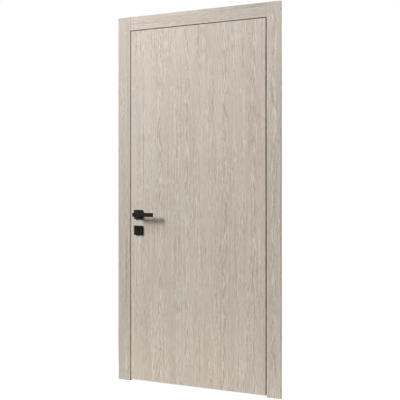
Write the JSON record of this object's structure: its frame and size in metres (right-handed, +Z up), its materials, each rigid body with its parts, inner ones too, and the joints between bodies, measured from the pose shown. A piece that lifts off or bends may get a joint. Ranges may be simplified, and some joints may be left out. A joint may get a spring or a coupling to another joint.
{
  "type": "interior door",
  "caption": "Flush interior door in its frame, pale vertical wood grain, flat casings, black lever handle and key rosette; the leaf swings on concealed hinges and the lever turns.",
  "frame": {"origin": "at the floor, on the outer fixing face of the hinge side jamb, in the plane of the wall", "axes": "+X out of the hinge side jamb into the wall beside it, to the right seen from the front; +Y from the front into the wall; +Z up"},
  "size_m": [0.966, 0.176, 2.093],
  "materials": {
    "pale_wood": "matt pale oak with a fine vertical grain",
    "seal_rubber": "matt dark seal",
    "black_metal": "satin black",
    "steel": "brushed",
    "hinge_metal": "satin black cast metal"
  },
  "bodies": {
    "frame": {"hinge_jamb": "pale_wood", "strike_jamb": "pale_wood", "head_jamb": "pale_wood", "hinge_side_stop": "pale_wood", "strike_side_stop": "pale_wood", "head_stop": "pale_wood", "hinge_side_seal": "seal_rubber", "strike_side_seal": "seal_rubber", "head_seal": "seal_rubber", "hinge_side_casing": "pale_wood", "strike_side_casing": "pale_wood", "head_casing": "pale_wood", "strike_plate": "black_metal", "lower_hinge_frame_cup": "hinge_metal", "middle_hinge_frame_cup": "hinge_metal", "upper_hinge_frame_cup": "hinge_metal"},
    "leaf": {"lock_stile": "pale_wood", "hinge_stile": "pale_wood", "top_rail": "pale_wood", "bottom_rail": "pale_wood", "leaf_core": "pale_wood", "front_skin": "pale_wood", "back_skin": "pale_wood", "lock_faceplate": "black_metal", "lock_case": "steel", "latch_bolt": "steel", "dead_bolt": "steel", "key_cylinder": "black_metal", "front_lever_rosette": "black_metal", "back_lever_rosette": "black_metal", "front_key_rosette": "black_metal", "back_key_rosette": "black_metal", "lower_hinge_leaf_cup": "hinge_metal", "middle_hinge_leaf_cup": "hinge_metal", "upper_hinge_leaf_cup": "hinge_metal"},
    "lever": {"front_lever": "black_metal", "back_lever": "black_metal", "spindle": "steel"},
    "hinge_arms": {"lower_hinge_arm": "hinge_metal", "middle_hinge_arm": "hinge_metal", "upper_hinge_arm": "hinge_metal"}
  },
  "joints": [
    {"name": "leaf_swing", "type": "hinge", "parent": "frame", "child": "leaf", "pos_m": [-0.0425, -0.019, 1.01], "axis": [0, 0, 1], "range_deg": [0, 110]},
    {"name": "hinge_arm_swing", "type": "hinge", "parent": "frame", "child": "hinge_arms", "pos_m": [-0.0425, -0.019, 1.01], "axis": [0, 0, 1], "range_deg": [0, 55]},
    {"name": "lever_turn", "type": "hinge", "parent": "leaf", "child": "lever", "pos_m": [-0.795, 0.002, 0.958], "axis": [0, 1, 0], "range_deg": [0, 40], "stiffness_Nm_per_rad": 0.8, "springref_deg": -34.38}
  ],
  "couplings": [
    {"joint": "hinge_arm_swing", "follows": "leaf_swing", "ratio": 0.5}
  ]
}
